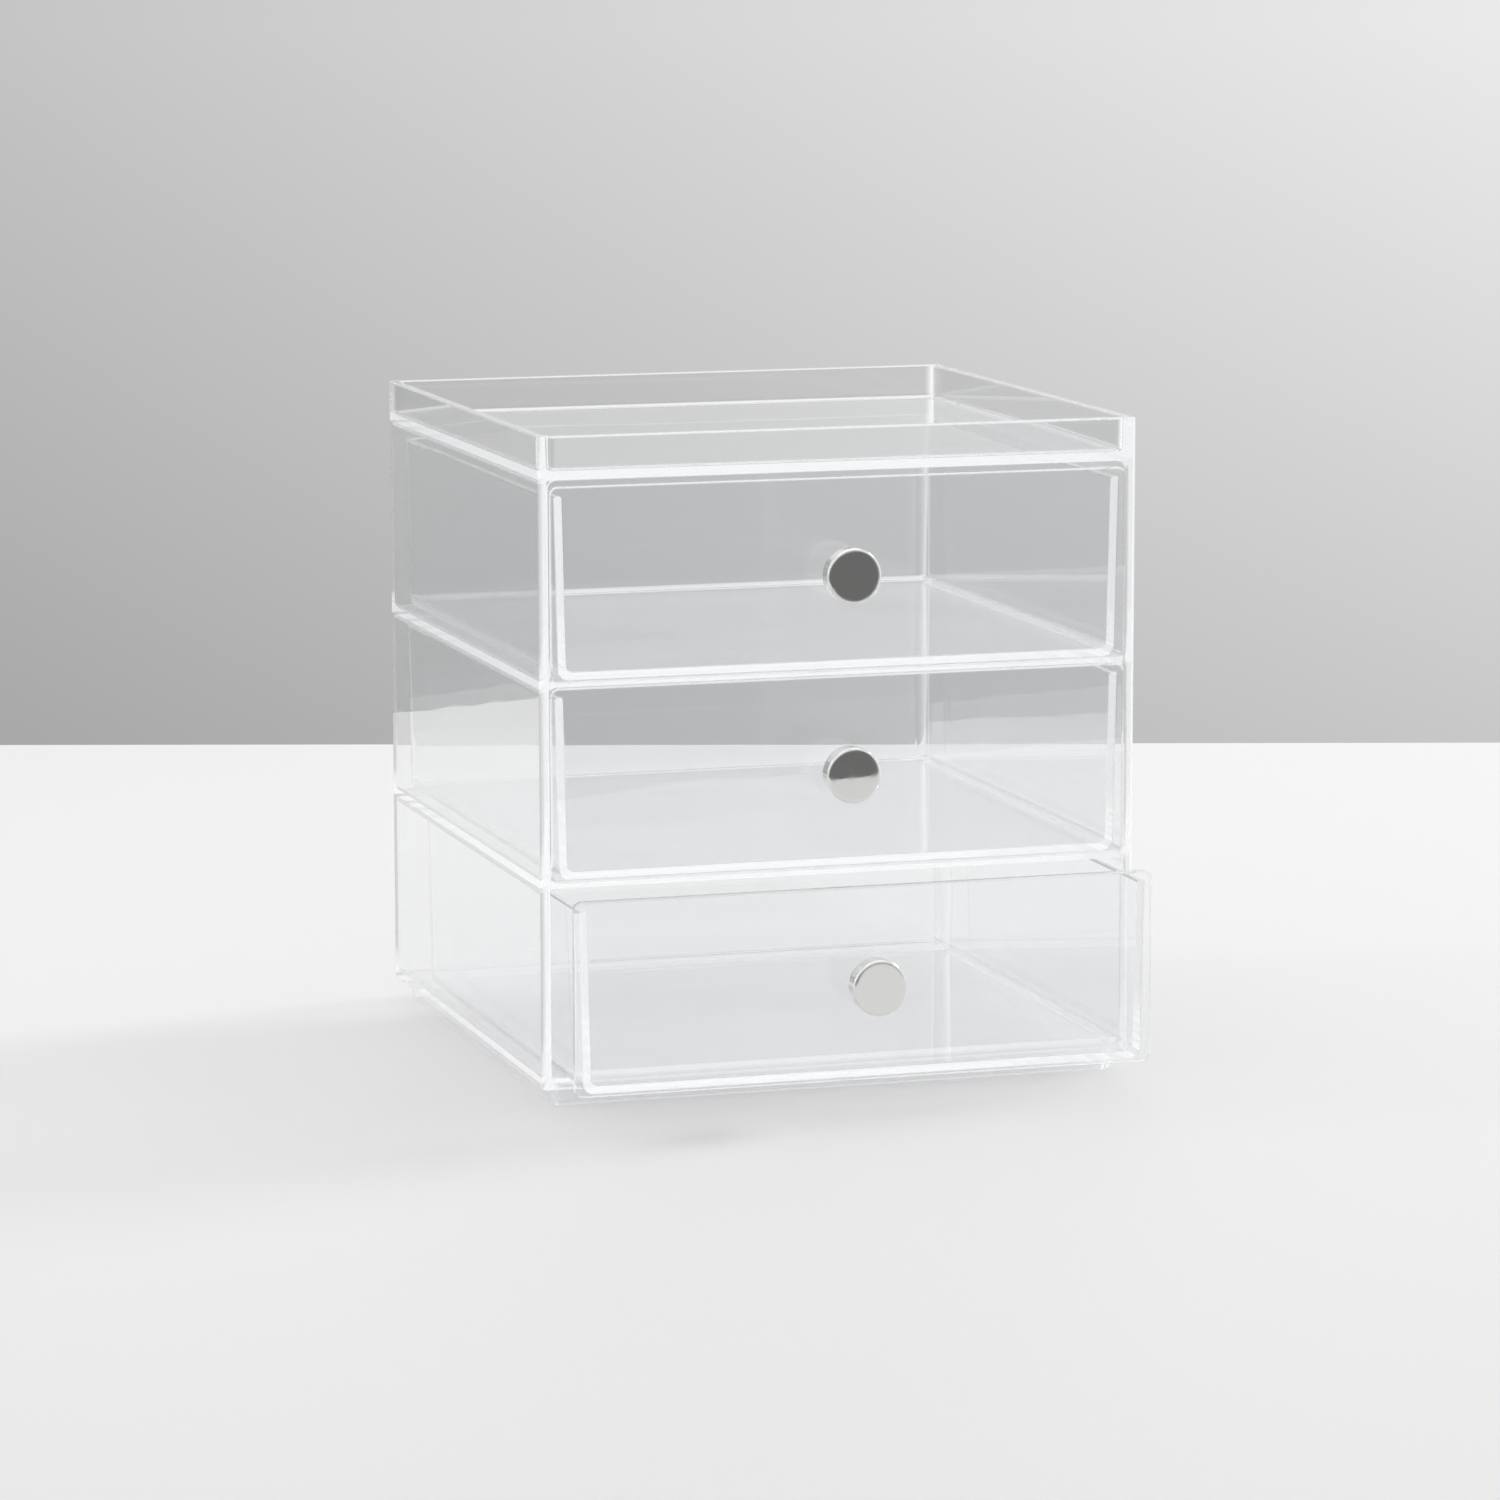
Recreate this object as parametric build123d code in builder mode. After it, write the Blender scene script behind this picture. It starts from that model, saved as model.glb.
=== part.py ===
from build123d import *
import os

# Countertop drawer cabinet in clear moulded acrylic, with drawers and an open tray on top.
# Millimetres. X runs left to right, Y front to back, Z up. The origin is the centre of
# the face that the foot stands on, and the front of the case looks along -Y.

# Case
case_width = 178.0
case_depth = 175.0
side_wall = 2.7
back_wall = 2.7
case_corner = 1.2
rim_edge = 0.4
mouth_edge = 0.3
lower_edge = 0.7

# Tray on top of the case, leaning outwards towards its rim
tray_depth = 10.0
tray_wall = 2.8
tray_draft = 1.5
tray_corner = 2.4
tray_floor_radius = 1.2
roof_thickness = 2.5

# Foot: an open frame that drops into the tray of a case below
foot_height = 5.2
stacking_gap = 1.0
foot_wall = 2.4
foot_corner = 4.0
foot_edge = 0.4

# Mouth of the case, the bays behind it and their floors
sill = 1.3
mouth_corner = 2.4
bay_corner = 1.0
shelf_thickness = 2.4
base_thickness = 2.4
head_gap = 1.7

# Drawer fronts, which stand flush in the mouth
drawer_names = ["bottom", "middle", "top"]
panel_height = 55.7
panel_thickness = 2.5
panel_corner = 2.4
panel_edge = 0.4
panel_gap = 1.2
panel_side_gap = 0.4
panel_sill_gap = 1.3
stop_gap = 0.4

# Drawer tubs, narrower towards their floors
tub_side_inset = 1.75
tub_rim_drop = 3.0
tub_floor_rise = 0.8
tub_wall = 2.2
tub_floor = 2.1
tub_draft = 1.2
tub_corner = 5.0
tub_outer_radius = 3.0
tub_inner_radius = 2.0
tub_rim_edge = 0.4
running_gap = 0.3
rear_gap = 2.0
bottom_drawer_pull = 23.8

# Knobs
knob_diameter = 16.0
knob_projection = 12.0
knob_head = 5.8
knob_chamfer = 0.5
knob_back_chamfer = 0.8
knob_neck_diameter = 8.5
knob_rise = 0.8

# Screws that hold the knobs from inside the drawers
screw_diameter = 4.0
screw_bite = 6.5
screw_tip_gap = 0.8
screw_thread_gap = 0.05
screw_hole_gap = 0.3
screw_head_diameter = 7.6
screw_head_height = 2.4
screw_head_chamfer = 0.9
driver_slot_width = 1.1
driver_slot_length = 4.2
driver_slot_depth = 1.2

# Levels and places that follow from the sizes above
case_front = -case_depth / 2
foot_inset = tray_wall + stacking_gap
mouth_bottom = foot_height + sill
drawer_pitch = panel_height + panel_gap
panel_bottoms = [
    mouth_bottom + panel_sill_gap + row * drawer_pitch for row in range(len(drawer_names))
]
bay_floors = [bottom + tub_floor_rise - running_gap for bottom in panel_bottoms]
mouth_top = panel_bottoms[-1] + panel_height + head_gap
bay_tops = [floor - shelf_thickness for floor in bay_floors[1:]] + [mouth_top]
tray_floor = mouth_top + roof_thickness
case_height = tray_floor + tray_depth
mouth_width = case_width - 2 * side_wall
mouth_depth = panel_thickness + stop_gap
panel_width = mouth_width - 2 * panel_side_gap
tub_width = panel_width - 2 * tub_side_inset
tub_height = panel_height - tub_rim_drop - tub_floor_rise
drawer_length = case_depth - back_wall - rear_gap
knob_height = panel_height / 2 + knob_rise


def downward_plane(level):
    """A level plane whose extrusions go down, with its own Y towards the front."""
    return Plane(origin=(0, 0, level), x_dir=(1, 0, 0), z_dir=(0, 0, -1))


def inward_plane(y, height=0.0):
    """An upright plane whose extrusions go towards the back of the case."""
    return Plane(origin=(0, y, height), x_dir=(-1, 0, 0), z_dir=(0, 1, 0))


def turning_plane(y, height):
    """A level plane for profiles that turn about the knob's axis, with X as the radius."""
    return Plane(origin=(0, y, height), x_dir=(1, 0, 0), z_dir=(0, 0, 1))


def turning_axis(y, height):
    return Axis((0, y, height), (0, 1, 0))


def make_case():
    """One moulding: walls, roof with its tray, shelves, base and the stacking foot."""
    with BuildPart() as case:
        with BuildSketch(Plane.XY.offset(foot_height)):
            RectangleRounded(case_width, case_depth, case_corner)
        extrude(amount=case_height - foot_height)
        chamfer(case.faces().sort_by(Axis.Z)[0].edges(), length=lower_edge)

        # Tray, with its floor rounded into its walls
        with BuildSketch(downward_plane(case_height)):
            RectangleRounded(case_width - 2 * tray_wall, case_depth - 2 * tray_wall, tray_corner)
        extrude(amount=tray_depth, taper=tray_draft, mode=Mode.SUBTRACT)
        level_faces = case.faces().filter_by(Plane.XY).sort_by(Axis.Z)
        fillet(level_faces[-2].edges(), radius=tray_floor_radius)
        chamfer(case.faces().sort_by(Axis.Z)[-1].edges(), length=rim_edge)

        # One tall mouth takes the drawer fronts flush
        with BuildSketch(inward_plane(case_front)):
            with Locations((0, (mouth_bottom + mouth_top) / 2)):
                RectangleRounded(mouth_width, mouth_top - mouth_bottom, mouth_corner)
        extrude(amount=mouth_depth, mode=Mode.SUBTRACT)
        front_face = case.faces().filter_by(Plane.XZ).sort_by(Axis.Y)[0]
        chamfer(front_face.inner_wires()[0].edges(), length=mouth_edge)

        # Bays behind it, so that the shelves stop the fronts
        for bay_floor, bay_top in zip(bay_floors, bay_tops):
            with BuildSketch(inward_plane(case_front + mouth_depth)):
                with Locations((0, (bay_floor + bay_top) / 2)):
                    RectangleRounded(mouth_width, bay_top - bay_floor, bay_corner)
            extrude(amount=case_depth - mouth_depth - back_wall, mode=Mode.SUBTRACT)

        # The foot stands round a pocket that leaves the base its even thickness
        foot_width = case_width - 2 * foot_inset
        foot_depth = case_depth - 2 * foot_inset
        with BuildSketch():
            RectangleRounded(foot_width, foot_depth, foot_corner)
        extrude(amount=foot_height)
        chamfer(case.faces().sort_by(Axis.Z)[0].edges(), length=foot_edge)
        with BuildSketch():
            RectangleRounded(
                foot_width - 2 * foot_wall, foot_depth - 2 * foot_wall, foot_corner - foot_wall
            )
        extrude(amount=bay_floors[0] - base_thickness, mode=Mode.SUBTRACT)
    return case.part


def make_drawer(panel_bottom, pull):
    """One moulding: a drafted tub behind an upright front, standing out by the pull."""
    panel_front = case_front - pull
    panel_back = panel_front + panel_thickness
    tub_back = panel_front + drawer_length
    tub_rim = panel_bottom + tub_floor_rise + tub_height
    with BuildPart() as drawer:
        # The tub is drawn on past its front and cut off there, so that three sides lean
        tub_front = panel_back - 2 * tub_corner
        with BuildSketch(downward_plane(tub_rim)):
            with Locations((0, -(tub_front + tub_back) / 2)):
                RectangleRounded(tub_width, tub_back - tub_front, tub_corner)
        extrude(amount=tub_height, taper=tub_draft)
        fillet(drawer.faces().sort_by(Axis.Z)[0].edges(), radius=tub_outer_radius)
        with BuildSketch(downward_plane(tub_rim)):
            with Locations((0, -(tub_front + tub_back) / 2)):
                RectangleRounded(
                    tub_width - 2 * tub_wall,
                    tub_back - tub_front - 2 * tub_wall,
                    tub_corner - tub_wall,
                )
        extrude(amount=tub_height - tub_floor, taper=tub_draft, mode=Mode.SUBTRACT)
        level_faces = drawer.faces().filter_by(Plane.XY).sort_by(Axis.Z)
        fillet(level_faces[1].edges(), radius=tub_inner_radius)
        chamfer(drawer.faces().sort_by(Axis.Z)[-1].edges(), length=tub_rim_edge)
        split(bisect_by=inward_plane(panel_back), keep=Keep.TOP)

        # Front, with the hole for the knob's screw
        with BuildSketch(inward_plane(panel_front, panel_bottom + panel_height / 2)):
            RectangleRounded(panel_width, panel_height, panel_corner)
        extrude(amount=panel_thickness)
        chamfer(drawer.faces().sort_by(Axis.Y)[0].edges(), length=panel_edge)
        with BuildSketch(inward_plane(panel_front, panel_bottom + knob_height)):
            Circle(screw_diameter / 2 + screw_hole_gap)
        extrude(amount=panel_thickness, mode=Mode.SUBTRACT)
    return drawer.part


def make_knob(panel_bottom, pull):
    """A turned knob: a broad head with a flat face on a round neck."""
    seat = case_front - pull
    height = panel_bottom + knob_height
    head_radius = knob_diameter / 2
    neck_radius = knob_neck_diameter / 2
    head_back = knob_projection - knob_head
    with BuildPart() as knob:
        with BuildSketch(turning_plane(seat, height)):
            with BuildLine():
                Polyline(
                    (0, 0),
                    (neck_radius, 0),
                    (neck_radius, -head_back),
                    (head_radius - knob_back_chamfer, -head_back),
                    (head_radius, -head_back - knob_back_chamfer),
                    (head_radius, -knob_projection + knob_chamfer),
                    (head_radius - knob_chamfer, -knob_projection),
                    (0, -knob_projection),
                    close=True,
                )
            make_face()
        revolve(axis=turning_axis(seat, height))
        with BuildSketch(inward_plane(seat, height)):
            Circle(screw_diameter / 2 + screw_thread_gap)
        extrude(amount=-(screw_bite + screw_tip_gap), mode=Mode.SUBTRACT)
    return knob.part


def make_knob_screw(panel_bottom, pull):
    """A pan head screw with a cross slot, its head against the inside of the front."""
    seat = case_front - pull + panel_thickness
    height = panel_bottom + knob_height
    shank_radius = screw_diameter / 2
    head_radius = screw_head_diameter / 2
    shank_length = panel_thickness + screw_bite
    with BuildPart() as screw:
        with BuildSketch(turning_plane(seat, height)):
            with BuildLine():
                Polyline(
                    (0, screw_head_height),
                    (0, -shank_length),
                    (shank_radius, -shank_length),
                    (shank_radius, 0),
                    (head_radius, 0),
                    (head_radius, screw_head_height - screw_head_chamfer),
                    (head_radius - screw_head_chamfer, screw_head_height),
                    close=True,
                )
            make_face()
        revolve(axis=turning_axis(seat, height))
        with BuildSketch(inward_plane(seat + screw_head_height, height)):
            Rectangle(driver_slot_length, driver_slot_width)
            Rectangle(driver_slot_width, driver_slot_length)
        extrude(amount=-driver_slot_depth, mode=Mode.SUBTRACT)
    return screw.part


def write_node(piece, name):
    piece.label = name
    export_step(piece, f"parts/{name}.step")


os.makedirs("parts", exist_ok=True)
write_node(make_case(), "case")
for name, panel_bottom in zip(drawer_names, panel_bottoms):
    pull = bottom_drawer_pull if name == "bottom" else 0.0
    write_node(make_drawer(panel_bottom, pull), f"{name}_drawer")
    write_node(make_knob(panel_bottom, pull), f"{name}_knob")
    write_node(make_knob_screw(panel_bottom, pull), f"{name}_knob_screw")
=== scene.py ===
import math

import bpy
from mathutils import Matrix, Vector

# Clear acrylic cabinet with three drawers. Metres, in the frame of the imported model:
# X to the right, Y to the back, Z up, with the foot's face at zero.

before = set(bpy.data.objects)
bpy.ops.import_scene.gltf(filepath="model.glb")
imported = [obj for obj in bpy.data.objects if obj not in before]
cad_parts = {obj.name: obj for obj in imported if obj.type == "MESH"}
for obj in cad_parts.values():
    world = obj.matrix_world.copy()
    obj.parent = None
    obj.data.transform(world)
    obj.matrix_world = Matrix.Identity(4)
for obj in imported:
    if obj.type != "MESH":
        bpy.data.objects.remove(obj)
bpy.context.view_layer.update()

# Camera, at the photograph's angle
CAMERA_AIM = Vector((0.0, -0.0875, 0.095))
CAMERA_DISTANCE = 1.70644
CAMERA_TURN = math.radians(17.16)
CAMERA_DROP = math.radians(8.96)
CAMERA_ROLL = math.radians(-0.09)
CAMERA_SLIDE = (0.02617, -0.00393)
FOCAL_PIXELS = 5979.0
FRAME_PIXELS = 1500.0
SENSOR_WIDTH = 36.0

# Finishes. The cloud is the exponent by which a metre of the plastic dims light, and, times the
# glow level, the strength of a painted white glow inside the plastic that lights its edges
ACRYLIC_CLEARNESS = 0.995
ACRYLIC_CLOUD_AND_GLOW = 13.0
ACRYLIC_PAINTED_GLOW_LEVEL = 1.0
ACRYLIC_EDGE_RADIUS = 0.0006
CHROME_EDGE_RADIUS = 0.0013
SCREW_EDGE_RADIUS = 0.0002

# Table top, with its ends counted from the origin along the camera's heading
TABLE_FRONT = -0.562
TABLE_BACK = 0.56
TABLE_REACH = 2.5

# The room by direction: the wall behind, what lies past it, and the unlit front
WALL_LOW = -0.1525
WALL_HIGH = -0.036
WALL_HALF_VIEW = 0.1186
WALL_LEFT_TONE = 0.395
WALL_RIGHT_TONE = 0.575
WALL_HIGH_RATIO = 1.42
WALL_DARKEST = 0.34
WALL_LEFT_END = (-0.72, -0.88)
WALL_RIGHT_END = (0.30, 0.55)
WALL_TOP_END = (0.10, 0.35)
ROOM_WHITE = 1.0
ROOM_FRONT = (-0.60, -0.85)
ROOM_FRONT_TOP = (0.20, 0.50)
ROOM_FRONT_TONE = 0.17
ROOM_LEVEL = 0.58

# Soft lamps: the key from the right and a little behind, and two faint fills
LAMPS = {
    "key": {"place": (3.0, 0.9, 1.9), "aim": (0.0, 0.0, 0.05), "size": (0.8, 0.8), "watts": 52.0},
    "left": {"place": (-1.1, 0.3, 0.6), "aim": (0.0, 0.0, 0.1), "size": (0.15, 0.9), "watts": 2.0},
    "top": {"place": (0.0, 0.3, 1.4), "aim": (0.0, 0.0, 0.1), "size": (1.6, 1.2), "watts": 3.0},
}


# ---------------------------------------------------------------- node helpers


def new_material(name):
    """A node material with only its output, and the nodes and links to fill it."""
    material = bpy.data.materials.new(name)
    material.use_nodes = True
    nodes = material.node_tree.nodes
    nodes.clear()
    output = nodes.new("ShaderNodeOutputMaterial")
    return material, nodes, material.node_tree.links, output


def add_node(nodes, kind, **settings):
    """A node of this kind: plain words set attributes, and a dict called inputs sets sockets."""
    node = nodes.new(kind)
    for socket, value in settings.pop("inputs", {}).items():
        node.inputs[socket].default_value = value
    for attribute, value in settings.items():
        setattr(node, attribute, value)
    return node


def noise(nodes, links, scale, detail):
    """Noise fixed to the object."""
    place = add_node(nodes, "ShaderNodeTexCoord")
    pattern = add_node(nodes, "ShaderNodeTexNoise", inputs={"Scale": scale, "Detail": detail})
    links.new(place.outputs["Object"], pattern.inputs["Vector"])
    return pattern.outputs["Fac"]


def span(nodes, links, source, low, high, start=0.3, end=0.7, clamp=True):
    """The source's stretch from start to end, spread over low to high. Noise lies mostly
    within the start and end that are given here."""
    ramp = add_node(
        nodes,
        "ShaderNodeMapRange",
        clamp=clamp,
        inputs={"From Min": start, "From Max": end, "To Min": low, "To Max": high},
    )
    links.new(source, ramp.inputs["Value"])
    return ramp.outputs["Result"]


def joined(nodes, links, operation, first, second):
    """Two values joined by this operation."""
    node = add_node(nodes, "ShaderNodeMath", operation=operation)
    links.new(first, node.inputs[0])
    links.new(second, node.inputs[1])
    return node.outputs["Value"]


def blend_towards(nodes, links, share, source, level):
    """The source, moved to this level by the share."""
    mix = add_node(nodes, "ShaderNodeMix", inputs={"B": level})
    links.new(share, mix.inputs["Factor"])
    links.new(source, mix.inputs["A"])
    return mix.outputs["Result"]


def rounded_relief(nodes, links, height, radius, samples, strength, depth):
    """Edges rounded over by this radius, under a fine relief from the height."""
    rounded = add_node(nodes, "ShaderNodeBevel", samples=samples, inputs={"Radius": radius})
    relief = add_node(nodes, "ShaderNodeBump", inputs={"Strength": strength, "Distance": depth})
    links.new(height, relief.inputs["Height"])
    links.new(rounded.outputs["Normal"], relief.inputs["Normal"])
    return relief.outputs["Normal"]


# ---------------------------------------------------------------- materials


def clear_acrylic():
    """Polished clear moulding: its edges rounded, faint waves in its faces, a cloudiness that dims
    light along its length, a painted white glow inside it that makes its edges light, and clear
    shadows."""
    material, nodes, links, output = new_material("clear_acrylic_moulded")
    plastic = add_node(
        nodes,
        "ShaderNodeBsdfPrincipled",
        inputs={
            "Base Color": (0.985, 0.988, 0.992, 1.0),
            "Transmission Weight": ACRYLIC_CLEARNESS,
            "IOR": 1.49,
            "Roughness": 0.0,
        },
    )
    waves = noise(nodes, links, scale=22.0, detail=1.0)
    normal = rounded_relief(
        nodes, links, waves, ACRYLIC_EDGE_RADIUS, samples=4, strength=0.06, depth=0.001
    )
    links.new(normal, plastic.inputs["Normal"])

    # Light from lamps passes straight through
    lets_light_by = add_node(
        nodes, "ShaderNodeBsdfTransparent", inputs={"Color": (0.96, 0.96, 0.962, 1.0)}
    )
    path = add_node(nodes, "ShaderNodeLightPath")
    lit = joined(
        nodes, links, "MAXIMUM", path.outputs["Is Shadow Ray"], path.outputs["Is Diffuse Ray"]
    )
    mix = add_node(nodes, "ShaderNodeMixShader")
    links.new(lit, mix.inputs["Fac"])
    links.new(plastic.outputs["BSDF"], mix.inputs[1])
    links.new(lets_light_by.outputs["BSDF"], mix.inputs[2])
    links.new(mix.outputs["Shader"], output.inputs["Surface"])

    # Painted glow: the plastic gives back as emitted white light what the cloudiness takes from a
    # ray, which makes its edges light
    soaks_up = add_node(
        nodes,
        "ShaderNodeVolumeAbsorption",
        inputs={"Color": (0.0, 0.0, 0.0, 1.0), "Density": ACRYLIC_CLOUD_AND_GLOW},
    )
    painted_glow = add_node(
        nodes,
        "ShaderNodeEmission",
        inputs={
            "Color": (0.98, 0.988, 1.0, 1.0),
            "Strength": ACRYLIC_CLOUD_AND_GLOW * ACRYLIC_PAINTED_GLOW_LEVEL,
        },
    )
    inside = add_node(nodes, "ShaderNodeAddShader")
    links.new(soaks_up.outputs["Volume"], inside.inputs[0])
    links.new(painted_glow.outputs["Emission"], inside.inputs[1])
    links.new(inside.outputs["Shader"], output.inputs["Volume"])
    return material


def polished_chrome():
    """Mirror plating: its edges rolled over, with a faint orange peel and haze."""
    material, nodes, links, output = new_material("polished_chrome_plate")
    metal = add_node(
        nodes,
        "ShaderNodeBsdfPrincipled",
        inputs={"Base Color": (0.80, 0.80, 0.79, 1.0), "Metallic": 1.0, "Roughness": 0.02},
    )
    haze = noise(nodes, links, scale=350.0, detail=4.0)
    links.new(span(nodes, links, haze, 0.01, 0.03), metal.inputs["Roughness"])
    peel = noise(nodes, links, scale=220.0, detail=1.0)
    normal = rounded_relief(
        nodes, links, peel, CHROME_EDGE_RADIUS, samples=8, strength=0.008, depth=0.0004
    )
    links.new(normal, metal.inputs["Normal"])
    links.new(metal.outputs["BSDF"], output.inputs["Surface"])
    return material


def screw_steel():
    """Bright zinc on steel, with a grainy sheen."""
    material, nodes, links, output = new_material("zinc_plated_steel")
    metal = add_node(
        nodes,
        "ShaderNodeBsdfPrincipled",
        inputs={"Base Color": (0.66, 0.67, 0.68, 1.0), "Metallic": 1.0, "Roughness": 0.3},
    )
    grain = noise(nodes, links, scale=900.0, detail=3.0)
    links.new(span(nodes, links, grain, 0.22, 0.4), metal.inputs["Roughness"])
    normal = rounded_relief(
        nodes, links, grain, SCREW_EDGE_RADIUS, samples=4, strength=0.1, depth=0.0002
    )
    links.new(normal, metal.inputs["Normal"])
    links.new(metal.outputs["BSDF"], output.inputs["Surface"])
    return material


def table_paint():
    """Matt white paint, a little uneven in its sheen."""
    material, nodes, links, output = new_material("table_white")
    paint = add_node(
        nodes,
        "ShaderNodeBsdfPrincipled",
        inputs={"Base Color": (0.92, 0.92, 0.917, 1.0), "Roughness": 0.5},
    )
    shade = noise(nodes, links, scale=3.0, detail=2.0)
    links.new(span(nodes, links, shade, 0.45, 0.55), paint.inputs["Roughness"])
    links.new(paint.outputs["BSDF"], output.inputs["Surface"])
    return material


def dress(material, ending):
    """Gives this material to the CAD nodes whose names end so."""
    for name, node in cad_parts.items():
        if name.endswith(ending):
            for place in node.material_slots:
                place.material = material


# ---------------------------------------------------------------- camera, table and light


def camera_axes():
    """The camera's own right, up and forward directions."""
    forward = Vector(
        (
            math.sin(CAMERA_TURN) * math.cos(CAMERA_DROP),
            math.cos(CAMERA_TURN) * math.cos(CAMERA_DROP),
            -math.sin(CAMERA_DROP),
        )
    )
    right = Vector((math.cos(CAMERA_TURN), -math.sin(CAMERA_TURN), 0.0))
    up = right.cross(forward)
    turned_right = right * math.cos(CAMERA_ROLL) + up * math.sin(CAMERA_ROLL)
    turned_up = -right * math.sin(CAMERA_ROLL) + up * math.cos(CAMERA_ROLL)
    return turned_right, turned_up, forward


def make_camera():
    right, up, forward = camera_axes()
    place = CAMERA_AIM - right * CAMERA_SLIDE[0] - up * CAMERA_SLIDE[1]
    place = place - forward * CAMERA_DISTANCE
    lens = bpy.data.cameras.new("photo_camera")
    lens.sensor_width = SENSOR_WIDTH
    lens.lens = FOCAL_PIXELS / FRAME_PIXELS * SENSOR_WIDTH
    camera = bpy.data.objects.new("photo_camera", lens)
    turn = Matrix((right, up, -forward)).transposed().to_4x4()
    camera.matrix_world = Matrix.Translation(place) @ turn
    bpy.context.scene.collection.objects.link(camera)
    bpy.context.scene.camera = camera


def make_table():
    """A table top whose far edge lies square to the camera's heading."""
    mesh = bpy.data.meshes.new("table")
    corners = [
        (-TABLE_REACH, TABLE_FRONT, 0.0),
        (TABLE_REACH, TABLE_FRONT, 0.0),
        (TABLE_REACH, TABLE_BACK, 0.0),
        (-TABLE_REACH, TABLE_BACK, 0.0),
    ]
    mesh.from_pydata(corners, [], [(0, 1, 2, 3)])
    mesh.materials.append(table_paint())
    table = bpy.data.objects.new("table", mesh)
    table.matrix_world = Matrix.Rotation(-CAMERA_TURN, 4, "Z")
    bpy.context.scene.collection.objects.link(table)


def soft_light(name, place, aim, size, watts):
    lamp = bpy.data.lights.new(name, "AREA")
    lamp.shape = "RECTANGLE"
    lamp.size, lamp.size_y = size
    lamp.energy = watts
    light = bpy.data.objects.new(name, lamp)
    light.location = place
    light.rotation_mode = "QUATERNION"
    light.rotation_quaternion = (Vector(aim) - Vector(place)).to_track_quat("-Z", "Y")
    bpy.context.scene.collection.objects.link(light)


def room_tone(nodes, links):
    """The room's grey by direction: a wall that is lighter upwards and to the right, white
    past its ends and above it, and the unlit front, which the knobs mirror."""
    place = add_node(nodes, "ShaderNodeTexCoord")
    turned = add_node(
        nodes, "ShaderNodeMapping", inputs={"Rotation": (0.0, 0.0, CAMERA_TURN)}
    )
    links.new(place.outputs["Generated"], turned.inputs["Vector"])
    heading = add_node(nodes, "ShaderNodeSeparateXYZ")
    links.new(turned.outputs["Vector"], heading.inputs["Vector"])
    side, height = heading.outputs["X"], heading.outputs["Z"]

    rise = span(nodes, links, height, 1.0, WALL_HIGH_RATIO, WALL_LOW, WALL_HIGH)
    reach = span(
        nodes,
        links,
        side,
        WALL_LEFT_TONE,
        WALL_RIGHT_TONE,
        -WALL_HALF_VIEW,
        WALL_HALF_VIEW,
        clamp=False,
    )
    held = add_node(nodes, "ShaderNodeMath", operation="MAXIMUM", inputs={1: WALL_DARKEST})
    links.new(reach, held.inputs[0])
    wall = joined(nodes, links, "MULTIPLY", rise, held.outputs["Value"])

    past_left = span(nodes, links, side, 0.0, 1.0, *WALL_LEFT_END)
    past_right = span(nodes, links, side, 0.0, 1.0, *WALL_RIGHT_END)
    past_top = span(nodes, links, height, 0.0, 1.0, *WALL_TOP_END)
    past = joined(nodes, links, "MAXIMUM", past_left, past_right)
    past = joined(nodes, links, "MAXIMUM", past, past_top)
    room = blend_towards(nodes, links, past, wall, ROOM_WHITE)

    plain = add_node(nodes, "ShaderNodeSeparateXYZ")
    links.new(place.outputs["Generated"], plain.inputs["Vector"])
    front = span(nodes, links, plain.outputs["Y"], 0.0, 1.0, *ROOM_FRONT)
    low = span(nodes, links, plain.outputs["Z"], 1.0, 0.0, *ROOM_FRONT_TOP)
    unlit = joined(nodes, links, "MULTIPLY", front, low)
    return blend_towards(nodes, links, unlit, room, ROOM_FRONT_TONE)


def make_room():
    """What is seen, mirrored or seen through is the room. What is lit gets an even level."""
    world = bpy.data.worlds.new("room")
    bpy.context.scene.world = world
    world.use_nodes = True
    nodes, links = world.node_tree.nodes, world.node_tree.links
    nodes.clear()
    output = add_node(nodes, "ShaderNodeOutputWorld")
    seen = add_node(nodes, "ShaderNodeBackground", inputs={"Strength": 1.0})
    links.new(room_tone(nodes, links), seen.inputs["Color"])
    level = add_node(
        nodes,
        "ShaderNodeBackground",
        inputs={"Color": (1.0, 1.0, 1.0, 1.0), "Strength": ROOM_LEVEL},
    )
    path = add_node(nodes, "ShaderNodeLightPath")
    shown = joined(
        nodes, links, "MAXIMUM", path.outputs["Is Camera Ray"], path.outputs["Is Glossy Ray"]
    )
    shown = joined(nodes, links, "MAXIMUM", shown, path.outputs["Is Transmission Ray"])
    mix = add_node(nodes, "ShaderNodeMixShader")
    links.new(shown, mix.inputs["Fac"])
    links.new(level.outputs["Background"], mix.inputs[1])
    links.new(seen.outputs["Background"], mix.inputs[2])
    links.new(mix.outputs["Shader"], output.inputs["Surface"])


def set_light_paths():
    cycles = bpy.context.scene.cycles
    cycles.max_bounces = 32
    cycles.transmission_bounces = 32
    cycles.glossy_bounces = 12
    cycles.diffuse_bounces = 4
    cycles.transparent_max_bounces = 48
    cycles.use_denoising = True


acrylic = clear_acrylic()
dress(acrylic, "case")
dress(acrylic, "_drawer")
dress(polished_chrome(), "_knob")
dress(screw_steel(), "_knob_screw")

make_camera()
make_table()
make_room()
for name, lamp in LAMPS.items():
    soft_light(name, **lamp)
set_light_paths()
bpy.context.scene.view_settings.view_transform = "Standard"
